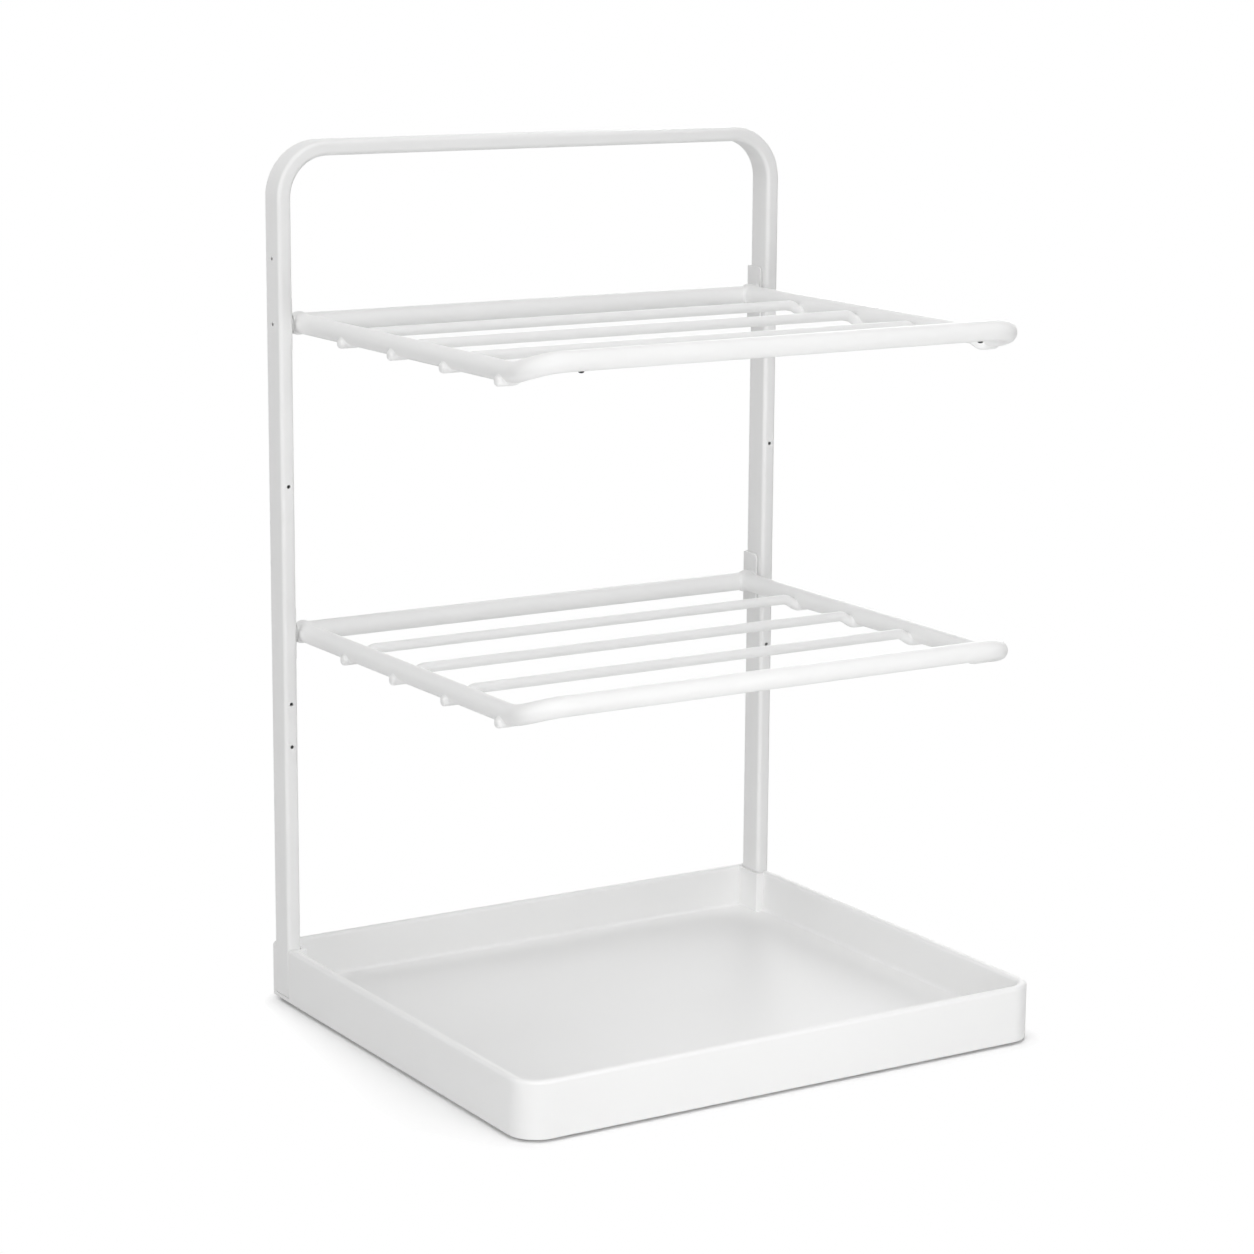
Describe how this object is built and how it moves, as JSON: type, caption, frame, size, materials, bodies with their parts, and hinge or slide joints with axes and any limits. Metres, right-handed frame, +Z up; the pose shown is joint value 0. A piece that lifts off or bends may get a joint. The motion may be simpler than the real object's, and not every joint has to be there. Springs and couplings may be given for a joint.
{
  "type": "desktop bookshelf",
  "caption": "White desktop bookshelf: walled base tray, bent tube back frame and wire rack shelves that jut forward from it, for flat stacks of books or papers.",
  "frame": {"origin": "middle of the footprint on the surface that the feet stand on", "axes": "+Z up; the open front faces -Y, the back frame is at +Y; +X to the right seen from the front"},
  "size_m": [0.32, 0.2804, 0.475],
  "materials": {
    "white_powder_coat": "satin powder coat",
    "tray_plastic": "satin",
    "black_rubber": "matte",
    "zinc_steel": "zinc plated"
  },
  "bodies": {
    "base": {"tray": "tray_plastic", "foot_front_left": "black_rubber", "foot_front_right": "black_rubber", "foot_back_left": "black_rubber", "foot_back_right": "black_rubber", "peg_left": "zinc_steel", "peg_right": "zinc_steel", "peg_screw_left": "zinc_steel", "peg_screw_right": "zinc_steel"},
    "rack": {"back_frame": "white_powder_coat", "upper_rim_rod": "white_powder_coat", "upper_back_rail": "white_powder_coat", "upper_cross_wire_1": "white_powder_coat", "upper_cross_wire_2": "white_powder_coat", "upper_cross_wire_3": "white_powder_coat", "upper_cross_wire_4": "white_powder_coat", "upper_end_plate_left": "white_powder_coat", "upper_end_plate_right": "white_powder_coat", "upper_pin_left": "zinc_steel", "upper_pin_right": "zinc_steel", "lower_rim_rod": "white_powder_coat", "lower_back_rail": "white_powder_coat", "lower_cross_wire_1": "white_powder_coat", "lower_cross_wire_2": "white_powder_coat", "lower_cross_wire_3": "white_powder_coat", "lower_cross_wire_4": "white_powder_coat", "lower_end_plate_left": "white_powder_coat", "lower_end_plate_right": "white_powder_coat", "lower_pin_left": "zinc_steel", "lower_pin_right": "zinc_steel", "upper_vent_plug_left": "black_rubber", "upper_vent_plug_right": "black_rubber"}
  },
  "joints": [
    {"name": "rack_lift", "type": "slide", "parent": "base", "child": "rack", "axis": [0, 0, 1], "range_m": [0, 0.027]}
  ]
}
